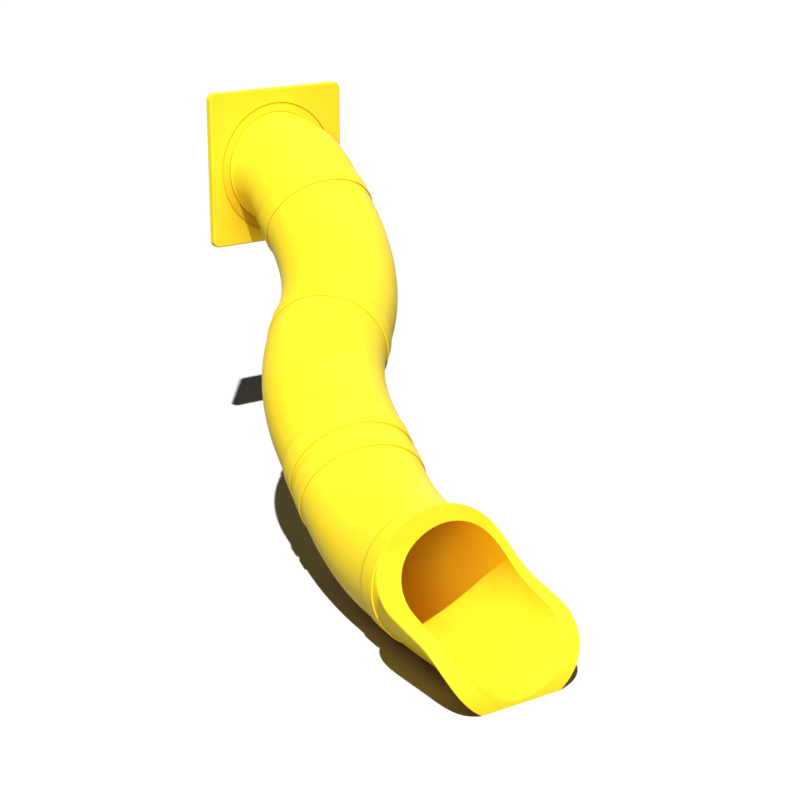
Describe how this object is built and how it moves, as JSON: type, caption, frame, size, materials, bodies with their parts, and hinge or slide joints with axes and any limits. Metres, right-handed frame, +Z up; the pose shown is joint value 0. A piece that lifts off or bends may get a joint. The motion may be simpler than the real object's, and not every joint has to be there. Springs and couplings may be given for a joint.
{
  "type": "tube slide",
  "caption": "Closed tube slide: square entry panel, curved tube sections joined by bells and spigots, and an open exit chute with an arched hood.",
  "frame": {"origin": "middle of the entry panel's back face, which is the middle of its four mounting inserts", "axes": "+Z up, -Y the way the tube leaves the panel, +X to the left of a person who sits in the entrance and looks out; the ground is at z = -2.017 m"},
  "size_m": [2.5962, 4.7657, 2.5617],
  "materials": {
    "yellow_polyethylene": "rotationally moulded, smooth satin",
    "painted_screw_steel": "powder coated to match the plastic",
    "stainless_steel": "plain stainless",
    "brass": "turned"
  },
  "bodies": {
    "root": {"entry_panel": "yellow_polyethylene", "panel_mount_inserts": "brass", "flange_inserts": "brass", "flange_screws": "stainless_steel", "entry_elbow": "yellow_polyethylene", "upper_elbow": "yellow_polyethylene", "middle_elbow": "yellow_polyethylene", "coupler": "yellow_polyethylene", "lower_elbow": "yellow_polyethylene", "exit_chute": "yellow_polyethylene", "joint_1_screws": "painted_screw_steel", "joint_2_screws": "painted_screw_steel", "joint_3_screws": "painted_screw_steel", "joint_4_screws": "painted_screw_steel", "joint_5_screws": "painted_screw_steel", "joint_1_nuts": "painted_screw_steel", "joint_2_nuts": "painted_screw_steel", "joint_3_nuts": "painted_screw_steel", "joint_4_nuts": "painted_screw_steel", "joint_5_nuts": "painted_screw_steel"}
  },
  "joints": []
}
